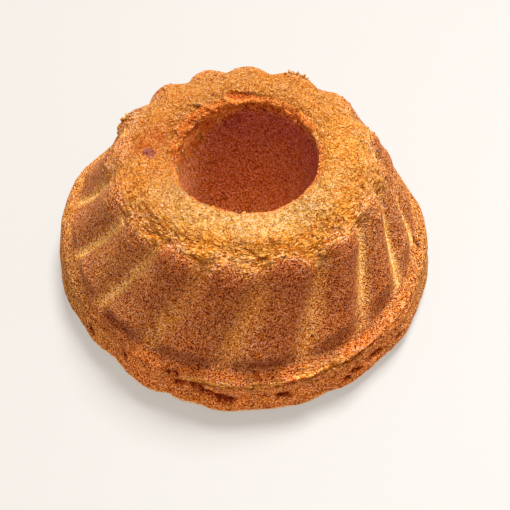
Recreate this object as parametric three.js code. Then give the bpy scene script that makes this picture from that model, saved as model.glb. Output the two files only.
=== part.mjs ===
// Ring cake baked in a swirled, fluted tin and turned out of it: one solid of crumb round an open hole.
// Millimetres, +Z up. The origin is the middle of the flat face that the cake stands on.
import * as THREE from "three";
import { mergeVertices } from "three/addons/utils/BufferGeometryUtils.js";

// Outline of the cut through one side, as radius and height at the bottom of the grooves
const HEIGHT = 91.5; // top of the crown
const FOOT_RADIUS = 99; // outer edge of the resting face
const TUCK = { radius: 106, height: 4 }; // the brim turns in under itself
const BRIM = { radius: 107.5, height: 9.8 }; // widest ring, where the batter rose over the tin's edge
const CRACK = { radius: 104.8, height: 19 }; // crack round the brim between its two lips
const UPPER_LIP = { radius: 105, height: 24.5 };
const RIM_EDGE = { radius: 103.3, height: 28 }; // mark left by the tin's edge
const WALL_FOOT = { radius: 97.8, height: 34 }; // plain band ends and the flutes begin
const WALL_TOP = { radius: 73.2, height: 79 }; // wall turns into the shoulder
const WALL_HOLLOW = 2.1; // how far the wall's middle lies inside the straight line between its ends
const CROWN_RADIUS = 55; // ring of the highest points
const HOLE_RIM = { radius: 38.6, height: 85 };
const HOLE_FOOT_RADIUS = 27;
const HOLE_SHIFT = { x: 1.8, y: 4 }; // the hole's mouth sits off the middle, and its foot does not

// Flutes: convex lobes between round-bottomed grooves
const LOBES = 16;
const LOBE_RISE = 5; // crest above the groove, square to the wall
const LOBE_POWER = 1.4; // power of the sine across a lobe: over 1 rounds the bottom of the grooves
const LOBE_END = 6; // height over which a lobe's lower end rises out of the plain band
const LOBE_FADE = { inside: 60, outside: 76 }; // radii between which a lobe rises out of the shoulder
const SWIRL_PER_MM = 0.32; // degrees that a groove turns for each millimetre of height
const GROOVE_ANGLE = 267; // angle of one groove, at the height below
const GROOVE_ANGLE_HEIGHT = 47;
// The tin's flutes are uneven round the ring: waves of the groove's angle, in degrees
const GROOVE_WAVES = [
  { turns: 1, size: 1.7, phase: 100 },
  { turns: 2, size: 1, phase: -102 },
  { turns: 3, size: 2, phase: -112 },
];

// Unevenness of the baked crumb
const LEAN = 0.02; // shift towards +X for each millimetre of height
const BRIM_WAVES = [
  { turns: 2, size: 1.5, phase: 157 },
  { turns: 4, size: 1.3, phase: 122 },
  { turns: 5, size: 0.6, phase: 17 },
  { turns: 11, size: 0.4, phase: 90 },
  { turns: 17, size: 0.3, phase: 310 },
];
const CRAG_RISE = 0.4; // relief where the crust tore off the crown
const CRAG_SEED = 7;
const CRAG_WAVES = 22;
const CRAG_TURNS = { least: 6, most: 20 }; // crests round the ring
const CRAG_RUN = { least: 12, most: 26 }; // millimetres from crest to crest along the cut
const TORN_DOWN_HOLE = 18; // height below the rim over which the relief fades into the hole
const TORN_DOWN_WALL = 12; // height below the shoulder over which it fades into the wall

const COLUMNS_PER_LOBE = 10;
const COLUMNS = LOBES * COLUMNS_PER_LOBE;

const radians = THREE.MathUtils.degToRad;
const smoothstep = THREE.MathUtils.smoothstep;

// Sum of waves round the ring, each with a whole number of crests, at an angle in radians
function waveSum(waves, angle) {
  return waves.reduce((sum, w) => sum + w.size * Math.sin(w.turns * angle + radians(w.phase)), 0);
}

// The stretches of the cut, from the foot of the hole up its wall, over the crown and down to the foot
function cutStretches() {
  const point = (radius, height) => new THREE.Vector2(radius, height);
  const holeRim = point(HOLE_RIM.radius, HOLE_RIM.height);
  const crown = point(CROWN_RADIUS, HEIGHT);
  const wallTop = point(WALL_TOP.radius, WALL_TOP.height);
  const wallFoot = point(WALL_FOOT.radius, WALL_FOOT.height);
  const rimEdge = point(RIM_EDGE.radius, RIM_EDGE.height);
  const hollow = wallTop.clone().sub(wallFoot).normalize().multiplyScalar(2 * WALL_HOLLOW);
  const wallMiddle = wallTop.clone().lerp(wallFoot, 0.5).add(point(-hollow.y, hollow.x));
  const lip = new THREE.EllipseCurve(
    CROWN_RADIUS, HOLE_RIM.height, CROWN_RADIUS - HOLE_RIM.radius, HEIGHT - HOLE_RIM.height,
    Math.PI, Math.PI / 2, true,
  );
  // The shoulder leaves the crown level and meets the wall along the wall's own slope
  const wallSlope = wallMiddle.clone().sub(wallTop);
  const toCrown = (HEIGHT - WALL_TOP.height) / wallSlope.y;
  const shoulderCorner = wallTop.clone().addScaledVector(wallSlope, toCrown);
  const foot = point(FOOT_RADIUS, 0);
  const brim = new THREE.SplineCurve([
    rimEdge,
    point(UPPER_LIP.radius, UPPER_LIP.height),
    point(CRACK.radius, CRACK.height),
    point(BRIM.radius, BRIM.height),
    point(TUCK.radius, TUCK.height),
    foot,
  ]);
  const holeFoot = point(HOLE_FOOT_RADIUS, 0);
  return [
    { name: "hole", curve: new THREE.LineCurve(holeFoot, holeRim), steps: 4 },
    { name: "lip", curve: lip, steps: 5 },
    { name: "shoulder", curve: new THREE.QuadraticBezierCurve(crown, shoulderCorner, wallTop), steps: 5 },
    { name: "wall", curve: new THREE.QuadraticBezierCurve(wallTop, wallMiddle, wallFoot), steps: 9 },
    { name: "band", curve: new THREE.LineCurve(wallFoot, rimEdge), steps: 1 },
    { name: "brim", curve: brim, steps: 10 },
    { name: "base", curve: new THREE.LineCurve(foot, holeFoot), steps: 1 },
  ];
}

// Points of the cut with the outward normal, the distance run along the cut and the stretch of each
function cutPoints() {
  const points = [];
  let run = 0;
  for (const { name, curve, steps } of cutStretches()) {
    const length = curve.getLength();
    for (let k = 0; k < steps; k++) {
      const place = curve.getPoint(k / steps);
      const along = curve.getTangent(k / steps);
      points.push({
        name,
        radius: place.x,
        height: place.y,
        normal: new THREE.Vector2(-along.y, along.x),
        run: run + (length * k) / steps,
      });
    }
    run += length;
  }
  points.push({ ...points[0] });
  return points;
}

// How far the lobes stand out at a point of the cut: full on the wall, none on the band and at the crown
function lobeRise({ name, radius, height }) {
  const share = {
    shoulder: smoothstep(radius, LOBE_FADE.inside, LOBE_FADE.outside),
    wall: smoothstep(height, WALL_FOOT.height, WALL_FOOT.height + LOBE_END),
  };
  return LOBE_RISE * (share[name] ?? 0);
}

// Degrees that the grooves have turned at a point of the cut: the swirl unwinds again down the hole
function swirl({ name, height }) {
  const low = WALL_FOOT.height;
  const high = WALL_TOP.height;
  const inside = { hole: low + (high - low) * (height / HOLE_RIM.height), lip: high };
  return SWIRL_PER_MM * (THREE.MathUtils.clamp(inside[name] ?? height, low, high) - GROOVE_ANGLE_HEIGHT);
}

// Seeded draws from 0 to 1
function drawsFrom(seed) {
  let state = seed;
  return () => {
    state = (Math.imul(state, 1664525) + 1013904223) >>> 0;
    return state / 2 ** 32;
  };
}

// Relief of the torn crown: waves of many directions, with a whole number of crests round the ring
function makeCrags() {
  const draw = drawsFrom(CRAG_SEED);
  const between = ({ least, most }) => least + (most - least) * draw();
  const waves = Array.from({ length: CRAG_WAVES }, () => ({
    turns: Math.round(between(CRAG_TURNS)) * (draw() < 0.5 ? -1 : 1),
    rate: (2 * Math.PI) / between(CRAG_RUN),
    phase: 2 * Math.PI * draw(),
  }));
  const size = CRAG_RISE / Math.sqrt(CRAG_WAVES / 2);
  return (angle, run) =>
    size * waves.reduce((sum, w) => sum + Math.cos(w.turns * angle + w.rate * run + w.phase), 0);
}

// Share of the torn relief at a point of the cut: full on the crown, fading down the hole and the wall
function tornShare({ name, height }) {
  const share = {
    hole: smoothstep(height, HOLE_RIM.height - TORN_DOWN_HOLE, HOLE_RIM.height),
    lip: 1,
    shoulder: 1,
    wall: smoothstep(height, WALL_TOP.height - TORN_DOWN_WALL, WALL_TOP.height),
  };
  return share[name] ?? 0;
}

// Share of the brim's waviness at a point of the cut: none at the wall's foot and on the resting face
function brimShare({ name, height }) {
  const share = {
    band: 1 - smoothstep(height, RIM_EDGE.height, WALL_FOOT.height),
    brim: smoothstep(height, 0, TUCK.height),
  };
  return share[name] ?? 0;
}

// Share of the hole's shift at a point of the cut: full at the rim, none at the hole's foot and on the crown
function holeShare({ name, radius, height }) {
  const share = {
    hole: height / HOLE_RIM.height,
    lip: 1 - smoothstep(radius, HOLE_RIM.radius, CROWN_RADIUS),
  };
  return share[name] ?? 0;
}

function cakeGeometry() {
  const cut = cutPoints();
  const crags = makeCrags();
  const outline = cut.map((p) => new THREE.Vector2(p.radius, p.height)).reverse();
  const geometry = new THREE.LatheGeometry(outline, COLUMNS);
  const place = geometry.getAttribute("position");
  for (let column = 0; column <= COLUMNS; column++) {
    const lobe = (column % COLUMNS) / COLUMNS_PER_LOBE;
    const acrossLobe = Math.sin(Math.PI * (lobe % 1)) ** LOBE_POWER;
    const nominal = radians(GROOVE_ANGLE + (360 / LOBES) * lobe);
    for (let row = 0; row < cut.length; row++) {
      const p = cut[cut.length - 1 - row];
      const angle = nominal + radians(swirl(p) + waveSum(GROOVE_WAVES, nominal));
      const rise =
        lobeRise(p) * acrossLobe +
        tornShare(p) * crags(angle, p.run) +
        brimShare(p) * waveSum(BRIM_WAVES, angle);
      const radius = p.radius + rise * p.normal.x;
      const height = p.height + rise * p.normal.y;
      const shift = holeShare(p);
      place.setXYZ(
        column * cut.length + row,
        radius * Math.cos(angle) + HOLE_SHIFT.x * shift + LEAN * height,
        radius * Math.sin(angle) + HOLE_SHIFT.y * shift,
        height,
      );
    }
  }
  geometry.deleteAttribute("normal");
  geometry.deleteAttribute("uv");
  const closed = mergeVertices(geometry);
  closed.computeBoundingBox();
  const { min, max } = closed.boundingBox;
  closed.translate(-(min.x + max.x) / 2, -(min.y + max.y) / 2, -min.z);
  closed.computeVertexNormals();
  return closed;
}

const crust = new THREE.MeshStandardMaterial({ color: 0xc07a3a, roughness: 0.85, metalness: 0 });

const cake = new THREE.Mesh(cakeGeometry(), crust);
cake.name = "cake";

const ringCake = new THREE.Group();
ringCake.add(cake);
export default ringCake;
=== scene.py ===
import itertools

import bpy
import numpy as np
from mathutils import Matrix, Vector


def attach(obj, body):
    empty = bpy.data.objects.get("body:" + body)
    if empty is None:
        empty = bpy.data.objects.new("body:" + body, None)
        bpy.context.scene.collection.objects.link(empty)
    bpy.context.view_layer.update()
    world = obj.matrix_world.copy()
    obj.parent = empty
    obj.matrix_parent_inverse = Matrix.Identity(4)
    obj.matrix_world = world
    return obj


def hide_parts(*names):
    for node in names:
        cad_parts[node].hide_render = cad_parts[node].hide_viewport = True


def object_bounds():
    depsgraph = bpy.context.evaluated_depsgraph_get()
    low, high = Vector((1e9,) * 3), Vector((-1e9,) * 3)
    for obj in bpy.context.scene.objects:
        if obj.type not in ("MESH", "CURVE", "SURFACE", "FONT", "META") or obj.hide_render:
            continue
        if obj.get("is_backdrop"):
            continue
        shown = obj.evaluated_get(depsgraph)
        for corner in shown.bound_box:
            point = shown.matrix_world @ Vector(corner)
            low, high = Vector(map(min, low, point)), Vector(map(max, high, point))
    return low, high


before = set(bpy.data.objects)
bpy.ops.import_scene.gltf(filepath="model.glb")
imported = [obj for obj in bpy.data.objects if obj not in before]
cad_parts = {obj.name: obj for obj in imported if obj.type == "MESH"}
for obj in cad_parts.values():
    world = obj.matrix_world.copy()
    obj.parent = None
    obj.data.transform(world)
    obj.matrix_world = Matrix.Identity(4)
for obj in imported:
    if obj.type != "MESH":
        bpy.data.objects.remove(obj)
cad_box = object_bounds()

# The sponge is one ring of lemon cake, baked in a swirled, fluted tin and turned out of it upside down. The
# tin left sixteen leaning lobes on its wall, and the batter that rose over its edge baked into the brim round
# the foot. The crust of the crown stayed in the tin, so torn crumb shows there.

# Smooth form: the cut through one side, carried round the ring, in millimetres and degrees
MM = 0.001
HOLE_FOOT = np.array([27, 0])  # places of the cut, as radius and height
HOLE_RIM = np.array([38.6, 85])
CROWN = np.array([55, 91.5])  # ring of the highest points
WALL_TOP = np.array([73.2, 79])
WALL_FOOT = np.array([97.8, 34])  # the lobes end on a plain band
RIM_EDGE = np.array([103.3, 28])  # mark left by the tin's edge
UPPER_LIP = np.array([105, 24.5])
CRACK = np.array([104.8, 19])
BRIM = np.array([107.5, 9.8])  # widest ring
TUCK = np.array([106, 4])
FOOT = np.array([99, 0])
WALL_HOLLOW = 2.1  # how far the wall's middle lies inside the straight line between its ends
LEAN = 0.02  # shift towards +X for each millimetre of height
HOLE_SHIFT = np.array([1.8, 4])  # the hole's mouth sits off the middle, and its foot does not
TORN_SIDE = 172  # bearing where the crumb tore down into the hole
LIP_SAG = 5  # the lip of the hole hangs this much lower there
LOBES = 16
LOBE_RISE = 5
LOBE_FADE = (60, 76)  # radii between which a lobe rises out of the shoulder
LOBE_END = 6  # height over which a lobe's lower end rises out of the band
RIGHT_SIDE = 340  # bearing where that height is twice as much
GROOVE_ROUND = 0.06  # share of a lobe's sine over which the bottom of a groove is rounded
SHALLOW_SIDE = 200  # bearing where the grooves lose the share below of their depth
SHALLOW_SHARE = 0.3
SWIRL_PER_MM = 0.32  # degrees that a groove turns for each millimetre of height
GROOVE_ANGLE = 267  # angle of one groove, at the height below
GROOVE_ANGLE_HEIGHT = 47
GROOVE_WAVES = ((1, 1.7, 100), (2, 1, -102), (3, 2, -112))  # turns, degrees, phase
BRIM_WAVES = ((2, 1.5, 157), (4, 1.3, 122), (5, 0.6, 17), (11, 0.4, 90), (17, 0.3, 310))  # turns, size, phase
BRIM_DENTS = ((226, 7, 3), (247.5, 2.5, 1.8), (257, 5, 1.2), (296, 5, 1))  # bearing, spread, depth
COLUMNS = 32 * LOBES


def smoothstep(value, low, high):
    """0 below low, 1 above high and 3 t^2 - 2 t^3 between them, where t is the share of the way."""
    t = np.clip((value - low) / (high - low), 0, 1)
    return t * t * (3 - 2 * t)


def bell(value):
    """exp(-value^2): 1 at 0, fading to both sides."""
    return np.exp(-(value**2))


def line(start, end):
    """Straight line: start + t (end - start)."""
    return lambda t: start + t * (end - start)


def bezier(start, middle, end):
    """Quadratic curve: (1 - t)^2 start + 2 t (1 - t) middle + t^2 end."""
    return lambda t: (1 - t) ** 2 * start + 2 * t * (1 - t) * middle + t**2 * end


def rising_quarter(start, end):
    """Quarter of an ellipse that leaves start upright and reaches end level."""
    reach = end - start
    return lambda t: start + reach * np.hstack([1 - np.cos(t * np.pi / 2), np.sin(t * np.pi / 2)])


def spline(*places):
    """Smooth curve through places: cubics with half the step between its neighbours as slope at each."""
    p = np.array([places[0], *places, places[-1]])

    def curve(t):
        at = t[:, 0] * (len(places) - 1)
        k = np.minimum(at.astype(int), len(places) - 2)
        u = (at - k)[:, None]
        a, b, c, d = (p[k + step] for step in range(4))
        return b + u / 2 * (c - a + u * (2 * a - 5 * b + 4 * c - d + u * (3 * (b - c) + d - a)))

    return curve


def waves_round(waves, angle):
    """Sum of size sin(turns angle + phase) over the waves."""
    return sum(size * np.sin(turns * angle + np.radians(phase)) for turns, size, phase in waves)


def brim_dents(angle):
    """Sum of depth exp(-((angle - bearing) / spread)^2) over the dents, in degrees and millimetres."""
    bearing, spread, depth = np.array(BRIM_DENTS).T
    gap = (np.degrees(angle)[..., None] - bearing + 180) % 360 - 180
    return (depth * bell(gap / spread)).sum(-1)


wall_line = WALL_TOP - WALL_FOOT
hollow = 2 * WALL_HOLLOW * wall_line / np.linalg.norm(wall_line)
wall_middle = (WALL_TOP + WALL_FOOT) / 2 + (-hollow[1], hollow[0])
wall_slope = wall_middle - WALL_TOP
shoulder_corner = WALL_TOP + wall_slope * (CROWN[1] - WALL_TOP[1]) / wall_slope[1]
STRETCHES = {  # curve and rows of each stretch, from the foot of the hole over the crown to the outer foot
    "hole": (line(HOLE_FOOT, HOLE_RIM), 24),
    "lip": (rising_quarter(HOLE_RIM, CROWN), 28),
    "shoulder": (bezier(CROWN, shoulder_corner, WALL_TOP), 46),
    "wall": (bezier(WALL_TOP, wall_middle, WALL_FOOT), 48),
    "band": (line(WALL_FOOT, RIM_EDGE), 8),
    "brim": (spline(RIM_EDGE, UPPER_LIP, CRACK, BRIM, TUCK, FOOT), 38),
    "base": (line(FOOT, HOLE_FOOT), 2),
}


def cut_rows():
    """Place, outward normal, distance run and stretch of each row: points at equal steps of each curve."""
    places, normals, runs, names, run = [], [], [], [], 0
    for name, (curve, rows) in STRETCHES.items():
        t = np.arange(rows)[:, None] / rows
        ahead = curve(np.minimum(t + 1e-4, 1)) - curve(np.maximum(t - 1e-4, 0))
        ahead /= np.linalg.norm(ahead, axis=1, keepdims=True)
        length = np.linalg.norm(np.diff(curve(np.linspace(0, 1, 201)[:, None]), axis=0), axis=1).sum()
        places.append(curve(t))
        normals.append(np.stack([-ahead[:, 1], ahead[:, 0]], 1))
        runs.append(run + length * t)
        names += [name] * rows
        run += length
    return np.vstack(places), np.vstack(normals), np.vstack(runs), np.array(names)[:, None]


cut, cut_normals, run, stretch = cut_rows()
radius, height = cut[:, :1], cut[:, 1:]
on = {name: stretch == name for name in STRETCHES}
on_wall = on["shoulder"] | on["wall"]
on_mouth = on["lip"] | on["hole"]
on_foot = on["band"] | on["brim"]
lobe = np.arange(COLUMNS) * LOBES / COLUMNS
across = np.hypot(np.sin(np.pi * lobe), GROOVE_ROUND) - GROOVE_ROUND
across = across / across.max()  # 0 in a groove, 1 on a lobe's crest
from_groove = lobe - np.round(lobe)  # 0 in a groove, 0.5 on a lobe's crest, less than 0 on one side
nominal = np.radians(GROOVE_ANGLE + 360 / LOBES * lobe)
unwound = np.where(on["hole"], WALL_FOOT[1] + wall_line[1] * height / HOLE_RIM[1], height)
unwound = np.clip(np.where(on["lip"], WALL_TOP[1], unwound), WALL_FOOT[1], WALL_TOP[1])
swirl = SWIRL_PER_MM * (unwound - GROOVE_ANGLE_HEIGHT)
angle = nominal + np.radians(swirl + waves_round(GROOVE_WAVES, nominal))


def towards(bearing, low, high):
    """1 round a bearing, 0 away from it: the cosine of the angle between, by smoothstep from low to high."""
    return smoothstep(np.cos(angle - np.radians(bearing)), low, high)


def grid_normals(grid):
    """Outward normals of a grid that closes both ways: the cross product of the steps down and across it."""
    down, over = (np.roll(grid, -1, axis) - np.roll(grid, 1, axis) for axis in (0, 1))
    normal = np.cross(down, over)
    return normal / np.linalg.norm(normal, axis=2, keepdims=True)


right = towards(RIGHT_SIDE, 0.5, 1)
torn_side = towards(TORN_SIDE, 0.2, 1)
lobe_end = WALL_FOOT[1] + LOBE_END * (1 + right)
lobe_share = on["shoulder"] * smoothstep(radius, *LOBE_FADE)
lobe_share = lobe_share + on["wall"] * smoothstep(height, WALL_FOOT[1], lobe_end)
lobe_share = lobe_share * (1 - SHALLOW_SHARE * towards(SHALLOW_SIDE, 0.6, 1))
brim_share = on["band"] * (1 - smoothstep(height, RIM_EDGE[1], WALL_FOOT[1]))
brim_share = brim_share + on["brim"] * smoothstep(height, 0, TUCK[1])
rise = LOBE_RISE * lobe_share * across + brim_share * (waves_round(BRIM_WAVES, angle) - brim_dents(angle))
up_hole = on["hole"] * height / HOLE_RIM[1]
hole_share = up_hole + on["lip"] * (1 - smoothstep(radius, HOLE_RIM[0], CROWN[0]))
sag_share = up_hole + on["lip"] * (CROWN[1] - height) / (CROWN[1] - HOLE_RIM[1])
out = radius + rise * cut_normals[:, :1]
up = height - LIP_SAG * torn_side * sag_share + rise * cut_normals[:, 1:]
form = np.stack([out * np.cos(angle) + LEAN * up, out * np.sin(angle), up], 2)
form[..., :2] += HOLE_SHIFT * hole_share[..., None]
form[..., :2] -= (form[..., :2].min((0, 1)) + form[..., :2].max((0, 1))) / 2

# Relief square to that form: torn crumb on the crown, smoother crust, and open crumb with cracks in the brim
FRONT = 275  # bearing of the side away from the light, where the crumb tore most
FRONT_MIDDLE = 279  # bearing where the crown is smoothest, inside the radii below
FRONT_MIDDLE_FADE = (53, 60)
ROUGH_FADE = (52, 63)  # radii between which the front of the crown gets rougher
TORN_RADIUS = 71.8  # mean radius of the torn crown's outer edge
TORN_SWAY = 2  # the edge lies further out by this at the bearing below
TORN_SWAY_BEARING = 45
TORN_TONGUE = 4  # torn crumb reaches this much further down the grooves than on the lobes
TORN_RAGGED = 4.4
TORN_FADE = 4  # half the width over which torn crumb turns into crust
TORN_DEPTH = 0.7
MOUTH_EDGE = 87  # height down to which the crumb is torn in the mouth of the hole
MOUTH_EDGE_SIDE = 14  # it is torn this much further down on the torn side
MOUTH_EDGE_BEHIND = 3  # and this much further down behind
MOUTH_RAGGED = 1.5
MOUTH_FADE = 1.2  # half the height over which that edge fades
MOUTH_FADE_SIDE = 4  # what the torn side adds to it
NIBBLE_HEIGHT, NIBBLE_SPREAD = 86.5, 2.5  # the lip of the hole is uneven round this height
WARP, WARP_SIZE = 1.1, 3  # how far clumps and flakes are bent out of shape, and over what length
FLAKE_RING = 32  # flakes lie along the ring, so their pattern is drawn on a narrower ring of this radius
FLAKE_SIZE, FLAKE_RISE = 9, 0.9
CLUMP_SIZE, CLUMP_RISE = 2.6, 0.5
SMALL_SIZE, SMALL_RISE = 1.5, 0.5
CRUST_WAVE_SIZE, CRUST_WAVE_RISE = 9, 0.25
CRUST_GRAIN_SIZE, CRUST_GRAIN_RISE = 2.6, 0.1
OPEN_CLUMP_SIZE, OPEN_CLUMP_RISE = 2.8, 0.45
OPEN_LAYER_SIZE, OPEN_LAYER_RISE = 2.4, 0.5
OPEN_DEPTH = 0.35
OPEN_FADE = (2, 6, 23, 26)  # heights between which the brim is open crumb, with a fade at both ends
RAGGED_LIP = 295  # bearing where the mark of the tin's edge is most ragged
LIP_RUN, LIP_WIDTH, LIP_RISE = 0.8, 1.8, 1.5  # ridge along that mark, by the distance run below it
GUTTER_RUN, GUTTER_WIDTH, GUTTER_DEPTH = 4.8, 1.6, 1.7  # hollow under the ridge
CREASE_BEARING = 246  # the lobes' lower ends are creased round this bearing
CREASE_DEPTH = 0.8
CREASE_ON_BAND = (34, 2)  # height and spread
CREASE_ON_WALL = (35, 3)
CRACK_DEPTH = 2.4
BRIM_CRACKS = (  # width, then places of a chain round the brim: angle in degrees, height
    (1.7, (249.6, 19.5), (253.6, 23.5), (257.8, 23.8)),
    (2.1, (256, 21.5), (258.6, 20), (261.6, 18.3), (264, 16.8), (266.5, 15.6)),
    (1.4, (246.6, 23.7), (247.2, 26.2)),
    (1.2, (249, 27.9), (249.6, 27.9)),
    (1, (281, 16.7), (283.4, 16.6)),
    (1.2, (302.4, 12), (303, 12)),
    (1.3, (305, 14.8), (307, 13.7)),
    (1.4, (312, 15.5), (315.5, 14.4)),
    (1.2, (324, 12.1), (325, 12)),
    (1.3, (214.6, 14.4), (216.2, 14.2)),
    (1.3, (229.6, 20.1), (231.4, 18.4)),
    (1.2, (351.8, 31), (353.4, 34)),
)
RIM_PATCHES = (  # the same for chains where the crust broke off the upper lip and pale crumb shows
    (2.2, (248.5, 24), (254, 26.6), (262.6, 26.9), (266.3, 26.7)),
    (2.4, (266, 26.9), (272.6, 26.6), (281.6, 26.9)),
    (4.4, (287.2, 27.6), (296.7, 27), (302, 26.8)),
    (2.6, (302, 26.8), (310, 26)),
)
STREAKS = (  # width, then x and y along the ridges behind the hole
    (1.3, (-10.5, 44), (-2.2, 41.3)),
    (1.3, (-27, 38.6), (-15, 38.2)),
)
STREAK_RISE = 1.2
POCKET = (90, 46.3, 20, 5, 0)  # dark hollow behind the hole: bearing, radius, length, width, turn
POCKET_DEPTH = 0.8


def draws(cell, seed):
    """One draw from 0 to 1 for each cell of space: its whole numbers and the seed, mixed by odd factors."""
    mixed = cell.astype(np.int64).astype(np.uint64) @ np.array([73856093, 19349663, 83492791], np.uint64)
    mixed = (mixed + np.uint64(seed * 668265263)) & np.uint64(0xFFFFFFFF)
    for shift_right, factor in ((15, 2246822519), (13, 3266489917)):
        mixed = (mixed ^ (mixed >> np.uint64(shift_right))) * np.uint64(factor) & np.uint64(0xFFFFFFFF)
    return (mixed ^ (mixed >> np.uint64(16))) / 2**32


def grain(points, size, seed):
    """Smooth noise from -1 to 1: draws at the corners of cubes of that size, blended by smoothstep."""
    q = points / size
    corner = np.floor(q)
    weight = smoothstep(q - corner, 0, 1)
    total = 0
    for step in itertools.product((0, 1), repeat=3):
        total = total + np.prod(np.where(step, weight, 1 - weight), -1) * draws(corner + step, seed)
    return 2 * total - 1


def crags(points, size, seed):
    """Noise of three sizes, each half as wide and half as high as the last."""
    return sum(grain(points, size / 2**k, seed + k) / 2**k for k in range(3))


def clumps(points, size, seed):
    """Packed round lumps, sqrt(1 - (d / 0.8)^2), and each one's draw: d is the way to the nearest centre.

    Each cube of that size holds one centre, at a drawn place.
    """
    q = points / size
    corner = np.floor(q)
    nearest, own = np.full(q.shape[:-1], np.inf), np.zeros(q.shape[:-1])
    for step in itertools.product((-1, 0, 1), repeat=3):
        cell = corner + step
        centre = cell + np.stack([draws(cell, seed + k) for k in range(3)], -1)
        distance = np.linalg.norm(q - centre, axis=-1)
        own = np.where(distance < nearest, draws(cell, seed + 3), own)
        nearest = np.minimum(nearest, distance)
    return np.sqrt(np.clip(1 - (nearest / 0.8) ** 2, 0, 1)), own


def ledges(value, riser):
    """Level treads one apart: the whole part, then the rest as a smooth riser over that share of a step."""
    tread = np.floor(value)
    return tread + smoothstep(value - tread, 1 - riser, 1)


def to_chains(flat, chains, scale=1):
    """Distance from points of a plane to the nearest chain of straight lines, in widths of that chain."""
    best = np.full(angle.shape, np.inf)
    for width, *places in chains:
        for a, b in itertools.pairwise(np.array(places) * scale):
            share = np.clip(((flat - a) @ (b - a)) / ((b - a) @ (b - a)), 0, 1)
            best = np.minimum(best, np.linalg.norm(flat - a - share[..., None] * (b - a), axis=2) / width)
    return best


def blot(bearing, reach, length, width, turn):
    """1 in the middle of an oval on the crown, fading as exp(-d^2): d in halves of its length and width."""
    dx = form[..., 0] - reach * np.cos(np.radians(bearing))
    dy = form[..., 1] - reach * np.sin(np.radians(bearing))
    c, s = np.cos(np.radians(turn)), np.sin(np.radians(turn))
    along, beside = (dx * c + dy * s) * 2 / length, (dy * c - dx * s) * 2 / width
    return (height > 60) * bell(along) * bell(beside)


facing = np.cos(angle - np.radians(FRONT))
in_front = smoothstep(facing, -0.2, 0.7)
behind = smoothstep(-facing, 0, 0.8)
torn_edge = TORN_RADIUS + TORN_SWAY * np.cos(angle - np.radians(TORN_SWAY_BEARING))
torn_edge = torn_edge + TORN_TONGUE * (0.5 - across) + TORN_RAGGED * crags(form, 12, 1)
mouth_edge = MOUTH_EDGE - MOUTH_EDGE_SIDE * torn_side - MOUTH_EDGE_BEHIND * behind
mouth_edge = mouth_edge - MOUTH_RAGGED * crags(form, 6, 3)
torn = on_wall * smoothstep(torn_edge - radius, -TORN_FADE, TORN_FADE)
torn = torn + on_mouth * smoothstep((height - mouth_edge) / (MOUTH_FADE + MOUTH_FADE_SIDE * torn_side), -1, 1)

warped = form + WARP * np.stack([grain(form, WARP_SIZE, seed) for seed in (4, 5, 6)], 2)
ring_run = np.broadcast_to(run, angle.shape)
flake_ring = np.stack([FLAKE_RING * np.cos(angle), FLAKE_RING * np.sin(angle), ring_run], 2)
flake = ledges(1.7 * crags(flake_ring + 0.6 * (warped - form), FLAKE_SIZE, 11), 0.3)
clump, clump_draw = clumps(warped * (1, 1.2, 1.2), CLUMP_SIZE, 16)
small = clumps(warped, SMALL_SIZE, 21)[0]
rough = 0.5 + 0.5 * in_front * smoothstep(radius, *ROUGH_FADE)
rough = rough - 0.2 * towards(FRONT_MIDDLE, 0.93, 0.99) * (1 - smoothstep(radius, *FRONT_MIDDLE_FADE))
crumb = FLAKE_RISE * flake + CLUMP_RISE * clump * (0.2 + clump_draw) + SMALL_RISE * small
crumb = rough * crumb - TORN_DEPTH
nibbled = on_mouth * bell((height - NIBBLE_HEIGHT) / NIBBLE_SPREAD) * crags(form, 7, 31)
nibbled = nibbled * (0.5 + 1.4 * behind)
crust = CRUST_WAVE_RISE * grain(form, CRUST_WAVE_SIZE, 41)
crust = crust + CRUST_GRAIN_RISE * grain(form, CRUST_GRAIN_SIZE, 42)
streak = (height > 80) * bell(to_chains(form[..., :2], STREAKS))
pocket = smoothstep(blot(*POCKET) + 0.25 * grain(form, 4, 63), 0.25, 0.75)

open_crumb = OPEN_CLUMP_RISE * clumps(warped, OPEN_CLUMP_SIZE, 51)[0] - OPEN_DEPTH
open_layers = grain(flake_ring + 0.5 * (warped - form), OPEN_LAYER_SIZE, 52)
open_crumb = open_crumb + OPEN_LAYER_RISE * open_layers
brim_open = on["brim"] * smoothstep(height, *OPEN_FADE[:2]) * (1 - smoothstep(height, *OPEN_FADE[2:]))
lip_ragged = np.clip(0.65 + 0.8 * crags(form, 7, 53), 0, 1.6) * (0.3 + 0.7 * towards(RAGGED_LIP, 0.9, 0.98))
below_edge = run - run[on["brim"]][0] - 1.5 * crags(form, 12, 55)
rim_lip = LIP_RISE * bell((below_edge - LIP_RUN) / LIP_WIDTH)
rim_lip = lip_ragged * (rim_lip - GUTTER_DEPTH * bell((below_edge - GUTTER_RUN) / GUTTER_WIDTH))
crease = on["band"] * bell((height - CREASE_ON_BAND[0]) / CREASE_ON_BAND[1])
crease = crease + on["wall"] * bell((height - CREASE_ON_WALL[0]) / CREASE_ON_WALL[1])
crease = crease * smoothstep(across, 0.1, 0.7) * (0.6 + 0.6 * grain(form, 10, 54))
crease = crease * towards(CREASE_BEARING, 0.66, 0.9)
brim_scale = np.array([np.radians(BRIM[0]), 1])  # from degrees and height to millimetres along the brim
unrolled = np.stack([np.degrees(angle) % 360, np.broadcast_to(height, angle.shape)], 2) * brim_scale
crack_share = to_chains(unrolled, BRIM_CRACKS, brim_scale) + 0.8 * grain(form, 2.4, 61)
crack = on_foot * bell(np.maximum(crack_share, 0))
patch_share = to_chains(unrolled, RIM_PATCHES, brim_scale) + 0.7 * crags(form, 5, 62)
patch = on_foot * bell(np.maximum(patch_share, 0) ** 2)

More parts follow.
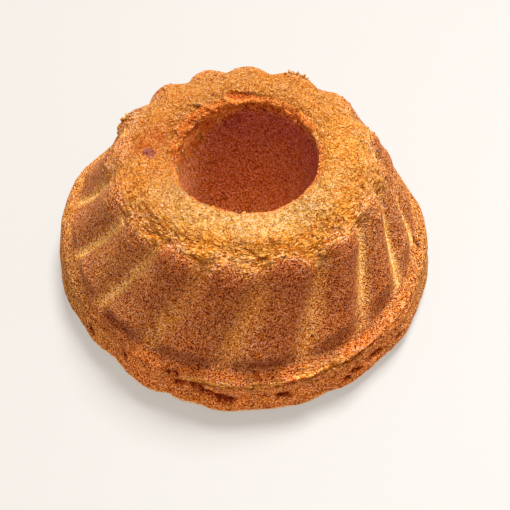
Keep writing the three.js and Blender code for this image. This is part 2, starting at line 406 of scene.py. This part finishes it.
relief = torn * crumb + (1 - torn) * (1 - brim_open) * crust + brim_open * open_crumb
relief = relief + nibbled + STREAK_RISE * streak - POCKET_DEPTH * pocket
relief = relief + rim_lip - CREASE_DEPTH * crease - CRACK_DEPTH * crack + patch * (0.8 * clump - 0.3)
relief = relief * (~on["base"] & (height > 0.5))  # the resting face stays flat
surface = form + grid_normals(form) * relief[..., None]

# Masks: numbers on the mesh that tell the material where crust browned, stayed pale or tore off, and where
# light and shade are painted
LEFT_SIDE = 197  # bearing where the grooves' pale stripes are narrower
STRIPE = 0.24  # half the width of a groove's pale stripe, as a share of a lobe
STRIPE_LEFT = -0.05  # what the sides and the front add to it
STRIPE_RIGHT = (0.2, -0.09)  # on one side of the groove and on the other: the wider side paints the light on the flank that faces the key
STRIPE_FRONT = 0.06
STRIPE_FOOT = (34, 50)  # heights between which the front's stripes fade out at their lower ends
STRIPE_HEAD = (68, 80)  # and at their upper ends
SHADE_FADE = (50, 68)  # heights between which the painted shade on the front grows: less low down, where the floor lights the wall
SHADED_LOBES = 316  # bearing of the lobes that get the most painted shade
LIT_GROOVES = 347  # bearing of the grooves with the most painted highlight and the smoothest grain
PALE_FADE = (48, 63)  # radii between which the pale front of the crown deepens
INSIDE_RADIUS, INSIDE_FADE = 42.5, 3.5  # crumb within this radius faces into the hole
INSIDE_BEHIND = 3  # what the back adds to that radius: there the redder colour also paints warm light into the shaded rim
HOLE_LIT_SIDE = 185  # bearing where the painted light at the foot of the hole reaches furthest up
SOLE_HEIGHT = (6.4, 8.6)  # the painted light on the brim's sole ends between these heights
BLUSH_OVAL = (168, 49.5, 34, 20, 45)  # reddish part of the crown: bearing, radius, length, width, turn
SPOT_OVAL = (177, 49.1, 10, 6.5, -15)  # dark spot in it


def sunken(depth, reach):
    """How far each point lies below the mean of the points that many rows and columns away."""
    around = [np.roll(depth, step, axis) for step in (-reach, reach) for axis in (0, 1)]
    return sum(around) / len(around) - depth


left = towards(LEFT_SIDE, 0.6, 0.95)
near_front = smoothstep(facing, 0.5, 1)
shaded = smoothstep(facing, 0.2, 0.9)
stripe = STRIPE + STRIPE_LEFT * left + STRIPE_FRONT * near_front
stripe = stripe + np.where(from_groove < 0, *STRIPE_RIGHT) * right
browned = smoothstep(np.abs(from_groove) / stripe, -0.1, 1) * (0.9 + 0.2 * grain(form, 14, 71))
ends = np.maximum(1 - smoothstep(height, *STRIPE_FOOT), 0.6 * smoothstep(height, *STRIPE_HEAD))
browned = browned + 0.55 * shaded * (1 - browned) * ends
browned = np.where(on_mouth, 1, browned)
browned = np.where(on_foot, 0.8 + 0.15 * shaded + 0.25 * grain(form, 9, 72), browned)
# Painted shade on the crust: the front, away from the light, less low down where the floor lights it, and the
# lobes at the front right
painted_shade = near_front * (0.58 + 0.42 * smoothstep(height, *SHADE_FADE))
painted_shade = painted_shade * (0.8 + 0.35 * smoothstep(np.abs(from_groove), 0.15, 0.35))
painted_shade = painted_shade + 0.8 * towards(SHADED_LOBES, 0.75, 1) * smoothstep(np.abs(from_groove), 0.1, 0.3)
# Painted highlight on the grooves at the sides, most towards the light; their grain is also smoother
smooth = np.maximum(towards(LIT_GROOVES, 0.72, 1), 0.6 * left) * (1 - np.clip(browned, 0, 1))
film = np.clip(0.9 * behind + 0.75 * torn_side, 0, 1)
pale_front = smoothstep(facing, 0, 0.9) * (1 - smoothstep(radius, *PALE_FADE))
tone = 0.82 - 0.57 * pale_front + 0.3 * grain(form, 11, 73)
along_edge = on_wall * smoothstep(torn_edge - radius, -8, 1)
inside = on_mouth * smoothstep(INSIDE_RADIUS + INSIDE_BEHIND * behind - radius, 0, INSIDE_FADE)
inside = inside * (0.7 + 0.1 * torn_side)
low_share = 1 - 0.5 * towards(HOLE_LIT_SIDE, 0.2, 1)
sole_edge = height + 0.8 * grain(form, 6, 76)
masks = {
    "ring_x": flake_ring[..., 0],  # where the flakes' pattern is drawn
    "ring_y": flake_ring[..., 1],
    "ring_run": flake_ring[..., 2],
    "torn": torn * (1 - 0.2 * film),
    "rough": rough * np.maximum(along_edge + on["lip"], patch),
    "tone": tone - 0.35 * streak,  # from pale to deep crumb
    "film": film,  # crust left on the crumb
    "toasted": smoothstep(radius - torn_edge, -8, 2) * (0.8 + 0.4 * grain(form, 4, 75)),
    "blush": torn * blot(*BLUSH_OVAL) * (0.8 + 0.4 * grain(form, 5, 74)),
    "spot": torn * smoothstep(blot(*SPOT_OVAL) + 0.2 * grain(form, 1.5, 78), 0.3, 0.8),
    "pocket": pocket,
    "inside": inside * np.clip(0.6 + 0.55 * behind + 1.1 * crags(form, 6, 77), 0, 1),  # faces into the hole; fuller at the back, where its redder colour paints warm light into the shade
    "hole": on["hole"] * smoothstep(HOLE_RIM[1] - height, 0, 5) * (1 - torn),
    "low": on["hole"] * (1 - height / HOLE_RIM[1] * low_share),  # painted light in the hole, growing from its rim to its foot
    "browned": np.clip(browned, 0, 1.3),
    # painted shade on the front crust
    "painted_shade": np.clip(painted_shade, 0, 1) * on_wall,
    # painted highlight on the side grooves, which also have smoother grain
    "smooth": smooth * on_wall,
    "shaded": shaded,
    # scorched crust and painted shade in the creases at the lobes' lower ends
    "scorch_and_shade": np.clip(crease, 0, 1),
    "brim": on_foot * smoothstep(WALL_FOOT[1] - height, 0, 2) * (0.8 + 0.3 * grain(form, 6, 79)),
    "lower": on["brim"] * smoothstep(RIM_EDGE[1] - height, 0, 4),
    # painted light on the brim's lowest edge, which the floor lights from below
    "sole": on["brim"] * (1 - smoothstep(sole_edge, *SOLE_HEIGHT)),
    # painted shadow under the ridge along the mark of the tin's edge
    "lip_shadow": on["brim"] * lip_ragged * bell((below_edge - GUTTER_RUN) / 1.3),
    "patch": patch,
    "crack": np.clip(1.6 * crack, 0, 1),
    # painted shade in hollows
    "hollow_shade": smoothstep(sunken(relief, 1) + 0.6 * sunken(relief, 3), 0, 0.7),
}


def add_piece(name, corners, faces):
    """Object at the origin with a smooth mesh of those corners, in millimetres, and faces."""
    mesh = bpy.data.meshes.new(name)
    mesh.from_pydata((corners * MM).reshape(-1, 3), [], faces)
    mesh.shade_smooth()
    piece = bpy.data.objects.new(name, mesh)
    bpy.context.collection.objects.link(piece)
    return piece


def set_masks(piece, shape, masks):
    """Stores each mask, spread over a grid of that shape, as an attribute of the mesh's corners."""
    for name, mask in masks.items():
        values = np.broadcast_to(mask, shape).astype(np.float32).ravel()
        piece.data.attributes.new(name, "FLOAT", "POINT").data.foreach_set("value", values)


def grid_faces(rows, columns):
    """Four-sided faces of a grid that closes on itself both ways: one for each step down and across it."""
    index = np.arange(rows * columns).reshape(rows, columns)
    below, beside = np.roll(index, -1, 0), np.roll(index, -1, 1)
    return np.stack([index, below, np.roll(below, -1, 1), beside], 2).reshape(-1, 4)


sponge = add_piece("sponge", surface, grid_faces(*angle.shape))
set_masks(sponge, angle.shape, masks)


class Wire:
    """One socket of a material's nodes. Arithmetic on it adds Math nodes, and make adds any other node."""

    def __init__(self, socket):
        self.socket = socket

    def make(self, kind, settings=(), output=0, **inputs):
        """A node of that kind in the same material, as add_node makes it."""
        return add_node(self.socket.id_data, kind, settings, output, **inputs)

    def math(self, operation, first, second):
        """A Math node of that operation."""
        return self.make("ShaderNodeMath", {"operation": operation}, Value=first, Value_001=second)

    def __add__(self, other):
        return self.math("ADD", self, other)

    def __sub__(self, other):
        return self.math("SUBTRACT", self, other)

    def __rsub__(self, other):
        return self.math("SUBTRACT", other, self)

    def __mul__(self, other):
        return self.math("MULTIPLY", self, other)

    def __rpow__(self, other):
        return self.math("POWER", other, self)

    __radd__, __rmul__ = __add__, __mul__

    def whole(self):
        """The whole number below."""
        return self.math("FLOOR", self, 0)

    def at_least(self, other):
        """The larger of the two."""
        return self.math("MAXIMUM", self, other)

    def step(self, low, high):
        """0 at low, 1 at high, smooth between."""
        return self.make("ShaderNodeMapRange", {"interpolation_type": "SMOOTHSTEP"},
                         Value=self, **{"From Min": low, "From Max": high})

    def times(self, other):
        """This colour times another, channel by channel."""
        return self.make("ShaderNodeVectorMath", {"operation": "MULTIPLY"}, Vector=self, Vector_001=other)

    def mix(self, start, end, blend="MIX"):
        """Colour from start to end by this wire, or from start to the two blended."""
        return self.make("ShaderNodeMix", {"data_type": "RGBA", "blend_type": blend}, "Result_Color",
                         Factor_Float=self, A_Color=start, B_Color=end)

    def tinge(self, start, tint):
        """Colour from start to start times tint by this wire."""
        return self.mix(start, tint, "MULTIPLY")


def add_node(tree, kind, settings=(), output=0, **inputs):
    """Adds a node and returns the wire of one output, by number or identifier.

    Its settings come first, then its sockets by identifier, each a number, a colour or a wire.
    """
    node = tree.nodes.new(kind)
    for key, value in dict(settings).items():
        setattr(node, key, value)
    for key, value in inputs.items():
        socket = next(s for s in node.inputs if s.identifier == key)
        if isinstance(value, Wire):
            tree.links.new(value.socket, socket)
        else:
            socket.default_value = value
    outputs = {s.identifier: s for s in node.outputs}
    return Wire(node.outputs[output] if isinstance(output, int) else outputs[output])


# Material of sponge and crumbs: colours of the palest grains, which darker grains, pores and painted shade in
# hollows break up
GROOVE = (0.985, 0.662, 0.385, 1)
GROOVE_LIT = (1.03, 0.917, 0.608, 1)  # painted highlight on the grooves, on the side towards the light
LOBE = (0.627, 0.325, 0.217, 1)
SHADE_TINT = (0.82, 0.66, 0.62, 1)  # painted shade: multiplies the crust on the front, away from the light, and on the lobes at the front right
BRIM_LIT = (0.69, 0.429, 0.214, 1)
BRIM_SHADED = (0.97, 0.445, 0.23, 1)
BRIM_LOWER = (1.23, 1.33, 1.34, 1)  # multiplies the brim below the mark of the tin's edge
LAYER = (0.72, 0.56, 0.5, 1)  # multiplies the darker of the thin layers that the brim baked in
SCORCH_AND_SHADE = (0.6, 0.4, 0.45, 1)  # multiplies the crust in the creases at the lower ends of the lobes: scorched crust, and painted shade in the creases
# painted light: the brim's lowest edge, lit from below by the floor
SOLE_LIGHT = (1.24, 1.04, 0.969, 1)
HOLE_CRUST = (0.477, 0.124, 0.214, 1)
# painted light towards the foot of the hole and on its left wall
HOLE_LIT = (1.26, 0.743, 0.514, 1)
# crumb and crust that face into the hole: their own redder colour, and at the back painted warm light in the
# shade
INSIDE = (0.895, 0.387, 0.192, 1)  # crumb and crust that face into the hole
CRUMB_PALE = (0.492, 0.419, 0.356, 1)
CRUMB_DEEP = (0.651, 0.408, 0.196, 1)
FILM = (0.82, 0.76, 0.8, 1)  # multiplies the crumb where a film of crust is left on it
BLUSH = (0.377, 0.115, 0.0454, 1)
SPOT = (0.265, 0.11, 0.201, 1)
# the hollow's darker red: the crumb's own colour and painted shade in the hollow
POCKET_DARK = (0.584, 0.203, 0.0861, 1)
PATCH = (0.771, 0.45, 0.181, 1)  # crumb where the crust broke off the lip
TOAST = (1.3, 1.45, 2.7, 1)  # multiplies the crumb along its edge
FLAKE_SHADOW = (0.5, 0.28, 0.17, 1)  # painted shadow: multiplies the crumb under the edges of flakes
PIT = (0.5, 0.26, 0.18, 1)  # multiplies the colour in the pores of the crust
HOLLOW_SHADE = (0.76, 0.54, 0.46, 1)  # painted shade: multiplies the colour in hollows and under the lip
CRACK_SHADE = (0.4, 0.19, 0.12, 1)  # painted shade: multiplies the colour in the cracks of the brim
GRAIN_SPAN = (4.2, 27, 4000)  # red, green and blue of the palest fine grain, over those of the darkest
GOLDEN_SPAN = (1.2, 1.7, 8)  # the same for the larger grains, which go from pale to golden
FINE_GRAINS, LARGE_GRAINS = 2500, 1200  # how many lie side by side in a metre
PORES, WIDE_PORES, LUMPS = 820, 240, 640  # the same
ROUGHNESS = 0.85
SHINE = 0.05

finish = bpy.data.materials.new("baked_sponge")
finish.use_nodes = True
tree = finish.node_tree
place = add_node(tree, "ShaderNodeTexCoord", output="Object")


def attribute(name):
    """The mask of that name."""
    return add_node(tree, "ShaderNodeAttribute", {"attribute_name": name}, "Fac")


def noise(scale, detail=2, roughness=0.5, at=place):
    """Cloudy noise from -1 to 1, mostly within 0.4 of 0, with one cloud to 1 / scale of a unit of at."""
    look = {"Scale": scale, "Detail": detail, "Roughness": roughness}
    return 2 * add_node(tree, "ShaderNodeTexNoise", Vector=at, **look) - 1


def cells(scale):
    """Distance to the middle of the nearest Voronoi cell, in cells, and the cell's own draw from 0 to 1."""
    near = add_node(tree, "ShaderNodeTexVoronoi", output="Distance", Vector=place, Scale=scale)
    own = add_node(tree, "ShaderNodeTexVoronoi", output="Color", Vector=place, Scale=scale)
    return near, add_node(tree, "ShaderNodeSeparateColor", Color=own)


fine = cells(FINE_GRAINS)[1]
specks = fine * fine * fine  # most grains are pale, and few are dark
large = cells(LARGE_GRAINS)[1]
golden = large * large
pore, pore_draw = cells(PORES)
wide_pore, wide_draw = cells(WIDE_PORES)
pits = 0.34 * (pore - 0.4 * pore_draw).step(0.12, -0.06)
pits = pits.at_least((wide_pore - 0.45 * wide_draw).step(-0.14, -0.24))
lump, lump_draw = cells(LUMPS)
cloud = noise(70)
ring_place = {"X": attribute("ring_x"), "Y": attribute("ring_y"), "Z": attribute("ring_run")}
ring = add_node(tree, "ShaderNodeCombineXYZ", **ring_place)
level = 4 * noise(0.12, 3, 0.6, ring)
tread = level - level.whole()  # from 0 to 1 across each ledge of the flakes
ragged = (attribute("torn") + 0.8 * noise(220, 3)).step(0.15, 0.85)
ragged = ragged.at_least(attribute("patch"))  # 0 on crust, 1 on crumb

# Painted highlight on the grooves towards the light
crust_colour = attribute("smooth").mix(GROOVE, GROOVE_LIT)
crust_colour = (attribute("browned") + 0.2 * cloud).mix(crust_colour, LOBE)
# Painted shade on the front crust
crust_colour = attribute("painted_shade").tinge(crust_colour, SHADE_TINT)
brim_colour = attribute("shaded").mix(BRIM_LIT, BRIM_SHADED)
brim_colour = attribute("lower").tinge(brim_colour, BRIM_LOWER)
crust_colour = attribute("brim").mix(crust_colour, brim_colour)
layers = noise(0.6, 3, 0.6, ring).step(0.05, 0.3)
crust_colour = (attribute("brim") * layers).tinge(crust_colour, LAYER)
crust_colour = attribute("scorch_and_shade").tinge(crust_colour, SCORCH_AND_SHADE)
crust_colour = attribute("sole").mix(crust_colour, SOLE_LIGHT)
crust_colour = attribute("inside").mix(crust_colour, INSIDE)
crust_colour = attribute("hole").mix(crust_colour, attribute("low").mix(HOLE_CRUST, HOLE_LIT))
crust_colour = (pits * (1 - 0.6 * attribute("hole"))).tinge(crust_colour, PIT)

crumb_colour = (attribute("tone") + 0.3 * cloud).mix(CRUMB_PALE, CRUMB_DEEP)
crumb_colour = attribute("film").tinge(crumb_colour, FILM)
crumb_parts = {"blush": BLUSH, "inside": INSIDE, "spot": SPOT, "pocket": POCKET_DARK, "patch": PATCH}
for name, part_colour in crumb_parts.items():
    crumb_colour = attribute(name).mix(crumb_colour, part_colour)
crumb_colour = attribute("toasted").tinge(crumb_colour, TOAST)
# Painted shadow under the edges of the flakes
flake_shadow = (1 - tread).step(0.3, 0) * attribute("rough") * noise(420).step(-0.2, 0.12)
crumb_colour = flake_shadow.tinge(crumb_colour, FLAKE_SHADOW)

crust_grain = 2.3 + 0.6 * attribute("browned") - 0.5 * attribute("shaded")
crust_grain = crust_grain - 1.4 * attribute("hole") * (1 - 0.64 * attribute("low"))
crust_grain = specks * (crust_grain - 1.6 * attribute("sole") - 1.5 * attribute("smooth"))
clusters = noise(0.4, 3, 0.6, ring).step(-0.2, 0.2)
crumb_grain = specks * (0.75 + attribute("shaded") * (clusters - 0.5))
crumb_grain = crumb_grain + attribute("rough") * (0.12 * lump_draw + 0.12 * lump.step(0.3, 0.8))
darkness = crust_grain * (1 - ragged) + crumb_grain * ragged
spans = zip(GRAIN_SPAN, GOLDEN_SPAN)
red, green, blue = ((1 / dark) ** darkness * (1 / deeper) ** golden for dark, deeper in spans)
grains = add_node(tree, "ShaderNodeCombineColor", Red=red, Green=green, Blue=blue)
colour = ragged.mix(crust_colour, crumb_colour).times(grains)
# Painted shade in hollows, under the lip and in the brim's cracks
for name, tint in {"hollow_shade": HOLLOW_SHADE, "lip_shadow": HOLLOW_SHADE, "crack": CRACK_SHADE}.items():
    colour = attribute(name).tinge(colour, tint)

ledge = (tread.step(0.8, 1) - tread) * attribute("rough")
lump_rise = (0.5 * lump_draw - 0.25 - lump.step(0.1, 0.8)) * attribute("rough")
bumps = (0.35 * lump_rise + 1.4 * ledge) * ragged + 0.35 * noise(1300) - 0.3 * pits * (1 - ragged)
bump = add_node(tree, "ShaderNodeBump", Strength=1, Distance=MM, Height=bumps)
shader = tree.nodes["Principled BSDF"]
tree.links.new(colour.socket, shader.inputs["Base Color"])
tree.links.new(bump.socket, shader.inputs["Normal"])
shader.inputs["Roughness"].default_value = ROUGHNESS
shader.inputs["Specular IOR Level"].default_value = SHINE
sponge.data.materials.append(finish)
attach(sponge, "root")
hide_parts("cake")

# Crumbs broke off the sponge as it left its tin, and stuck where they fell: most along the edge of the torn
# crown and on the rim of the hole. Each is a ball pulled out of round by draws, and all are one mesh.
CRUMBS = 300
CRUMB_SEED = 5
CRUMB_SIZES = (0.35, 1)  # least and greatest half width
CRUMB_STAND = 0.3  # a crumb's middle stands above the sponge by this share of its half width
CRUMB_HEAPS = ((152, 73), (154, 71), (66, 70), (63, 71), (178, 38), (150, 40))  # bearing and radius of each
HEAP_WIDTH = 9  # of each place where more of them lie
HEAP_STRETCH = 1.8  # crumbs in the heaps stand taller, by up to this share
CRUMB_ROWS, CRUMB_SIDES = 3, 7  # rings of corners between the poles, and corners in each


def ball():
    """Unit ball: rings of corners between two poles, with a fan of faces at each pole and pairs between."""
    lift = np.linspace(-1, 1, CRUMB_ROWS + 2)[1:-1, None] * np.pi / 2
    turn = np.arange(CRUMB_SIDES) * 2 * np.pi / CRUMB_SIDES
    ring_size, ring_height = np.cos(lift), np.sin(lift) * np.ones(CRUMB_SIDES)
    rings = np.stack([ring_size * np.cos(turn), ring_size * np.sin(turn), ring_height], 2)
    corners = np.vstack([rings.reshape(-1, 3), [(0, 0, -1), (0, 0, 1)]])
    here = np.arange(CRUMB_ROWS * CRUMB_SIDES).reshape(CRUMB_ROWS, -1)
    beside = np.roll(here, -1, 1)
    sides = np.stack([here[:-1], beside[:-1], beside[1:], here[1:]], 2).reshape(-1, 4)
    low, high = np.full(CRUMB_SIDES, here.size), np.full(CRUMB_SIDES, here.size + 1)
    fans = np.vstack([np.stack([low, beside[0], here[0]], 1), np.stack([high, here[-1], beside[-1]], 1)])
    return corners, np.vstack([fans, sides[:, [0, 1, 2]], sides[:, [0, 2, 3]]])


rng = np.random.default_rng(CRUMB_SEED)
heaps = sum(blot(*heap, HEAP_WIDTH, HEAP_WIDTH, 0) for heap in CRUMB_HEAPS)
chance = (height > 70) * (4 * torn * (1 - torn) + 0.15 * torn * rough + 5 * heaps) * out
seats = rng.choice(chance.size, CRUMBS, p=(chance / chance.sum()).ravel())
corners, faces = ball()
half_width = CRUMB_SIZES[0] + (CRUMB_SIZES[1] - CRUMB_SIZES[0]) * rng.random((CRUMBS, 1, 1)) ** 2
pulled = half_width * rng.uniform(0.6, 1.3, (CRUMBS, 1, 3))
balls = corners * pulled * rng.uniform(0.7, 1.25, (CRUMBS, len(corners), 1))
upright = grid_normals(form).reshape(-1, 1, 3)[seats]
taller = HEAP_STRETCH * heaps.reshape(-1, 1, 1)[seats] * rng.random((CRUMBS, 1, 1))
balls = balls + taller * (balls * upright).sum(-1, keepdims=True) * upright
balls = balls + surface.reshape(-1, 1, 3)[seats] + CRUMB_STAND * half_width * upright
faces = faces + len(corners) * np.arange(CRUMBS)[:, None, None]
crumbs = add_piece("crumbs", balls, faces.reshape(-1, 3))
set_masks(crumbs, balls.shape[:2], {"torn": 1, "tone": rng.uniform(0.5, 1, (CRUMBS, 1)), "rough": 0})
crumbs.data.materials.append(finish)
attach(crumbs, "root")

# The studio is a plain pale floor that glows a little, a broad soft light from behind on the right, an even
# warm fill and the camera. It stands in for a bright room.
FLOOR_HALF = 2000  # half its width
FLOOR_COLOUR = (0.145, 0.145, 0.143, 1)
FLOOR_ROUGHNESS = 0.6
GLOW_COLOUR = (1, 0.96, 0.91, 1)
GLOW_STRENGTH = 0.41
FILL_COLOUR = (1, 0.78, 0.6, 1)
FILL_STRENGTH = 0.87
KEY_ELEVATION = np.radians(63)
KEY_ASIDE = np.radians(24)  # to the right of straight behind
KEY_LEVEL = np.cos(KEY_ELEVATION)
KEY_FROM = Vector((KEY_LEVEL * np.sin(KEY_ASIDE), KEY_LEVEL * np.cos(KEY_ASIDE), np.sin(KEY_ELEVATION)))
KEY_SPREAD = np.radians(22)
KEY_STRENGTH = 6.6
CAMERA_PLACE = (0.00711, -0.37830, 0.51622)  # in metres
CAMERA_ELEVATION = 53.7
LENS, SENSOR = 50, 24  # focal length and width

floor_corners = FLOOR_HALF * np.array([(-1, -1, 0), (1, -1, 0), (1, 1, 0), (-1, 1, 0)])
floor = add_piece("floor", floor_corners, [(0, 1, 2, 3)])
pale = bpy.data.materials.new("pale_floor")
pale.use_nodes = True
floor_shader = pale.node_tree.nodes["Principled BSDF"]
floor_shader.inputs["Base Color"].default_value = FLOOR_COLOUR
floor_shader.inputs["Roughness"].default_value = FLOOR_ROUGHNESS
floor_shader.inputs["Emission Color"].default_value = GLOW_COLOUR
floor_shader.inputs["Emission Strength"].default_value = GLOW_STRENGTH
floor.data.materials.append(pale)
floor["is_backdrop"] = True

key = bpy.data.objects.new("key", bpy.data.lights.new("key", "SUN"))
key.data.energy = KEY_STRENGTH
key.data.angle = KEY_SPREAD
key.rotation_euler = KEY_FROM.to_track_quat("Z", "Y").to_euler()
bpy.context.collection.objects.link(key)
scene = bpy.context.scene
scene.world = bpy.data.worlds.new("studio")
scene.world.use_nodes = True
fill = scene.world.node_tree.nodes["Background"]
fill.inputs["Color"].default_value = FILL_COLOUR
fill.inputs["Strength"].default_value = FILL_STRENGTH
scene.view_settings.view_transform = "Standard"

camera = bpy.data.objects.new("camera", bpy.data.cameras.new("camera"))
camera.data.lens = LENS
camera.data.sensor_width = SENSOR
camera.location = CAMERA_PLACE
camera.rotation_euler = (np.radians(90 - CAMERA_ELEVATION), 0, 0)
bpy.context.collection.objects.link(camera)
scene.camera = camera

boxes = {"cad": cad_box, "visual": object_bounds()}
{name: [list(corner) for corner in box] for name, box in boxes.items()}
